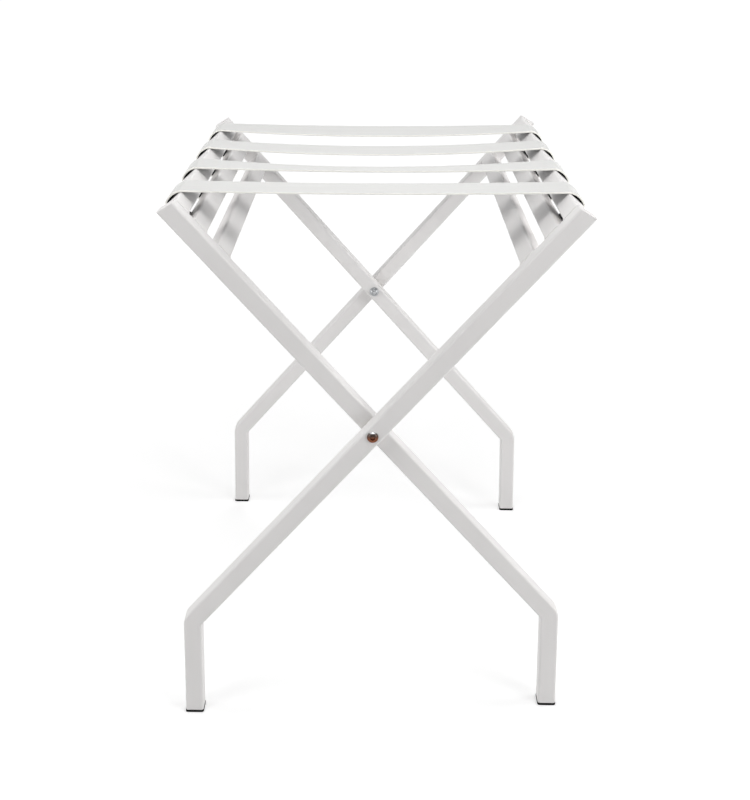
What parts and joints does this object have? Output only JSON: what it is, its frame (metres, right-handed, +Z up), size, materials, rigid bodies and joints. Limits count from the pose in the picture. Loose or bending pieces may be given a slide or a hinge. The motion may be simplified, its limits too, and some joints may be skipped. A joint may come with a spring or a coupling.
{
  "type": "folding luggage rack",
  "caption": "Folding luggage rack: crossed frames of white square steel tube on pivot bolts, with flat straps over the top rails that carry a suitcase.",
  "frame": {"origin": "middle of the footprint, on the floor", "axes": "+Z up, +Y along the rails to the back, +X to the right along the straps"},
  "size_m": [0.4362, 0.563, 0.5884],
  "materials": {
    "white_powder_coat": "satin white powder coat",
    "white_strap": "smooth white face, black backing",
    "black_plastic": "moulded black plastic",
    "zinc_steel": "bright zinc plate",
    "clear_nylon": "natural nylon"
  },
  "bodies": {
    "outer_frame": {"outer_front_leg": "white_powder_coat", "outer_front_foot": "black_plastic", "outer_rear_leg": "white_powder_coat", "outer_rear_foot": "black_plastic", "outer_top_rail": "white_powder_coat", "outer_upper_crossbar": "white_powder_coat", "outer_lower_crossbar": "white_powder_coat", "strap_1_outer_screw": "zinc_steel", "strap_2_outer_screw": "zinc_steel", "strap_3_outer_screw": "zinc_steel", "strap_4_outer_screw": "zinc_steel", "front_pivot_bolt": "zinc_steel", "front_pivot_spacer": "clear_nylon", "front_pivot_washer": "zinc_steel", "front_pivot_nut": "zinc_steel", "rear_pivot_bolt": "zinc_steel", "rear_pivot_spacer": "clear_nylon", "rear_pivot_washer": "zinc_steel", "rear_pivot_nut": "zinc_steel", "strap_1": "white_strap", "strap_2": "white_strap", "strap_3": "white_strap", "strap_4": "white_strap"},
    "inner_frame": {"inner_front_leg": "white_powder_coat", "inner_front_foot": "black_plastic", "inner_rear_leg": "white_powder_coat", "inner_rear_foot": "black_plastic", "inner_top_rail": "white_powder_coat", "inner_upper_crossbar": "white_powder_coat", "inner_lower_crossbar": "white_powder_coat", "strap_1_inner_screw": "zinc_steel", "strap_2_inner_screw": "zinc_steel", "strap_3_inner_screw": "zinc_steel", "strap_4_inner_screw": "zinc_steel"}
  },
  "joints": [
    {"name": "fold", "type": "hinge", "parent": "outer_frame", "child": "inner_frame", "pos_m": [0, 0, 0.34462], "axis": [0, 1, 0], "range_deg": [0, 74], "deforming": ["strap_1", "strap_2", "strap_3", "strap_4"]}
  ]
}
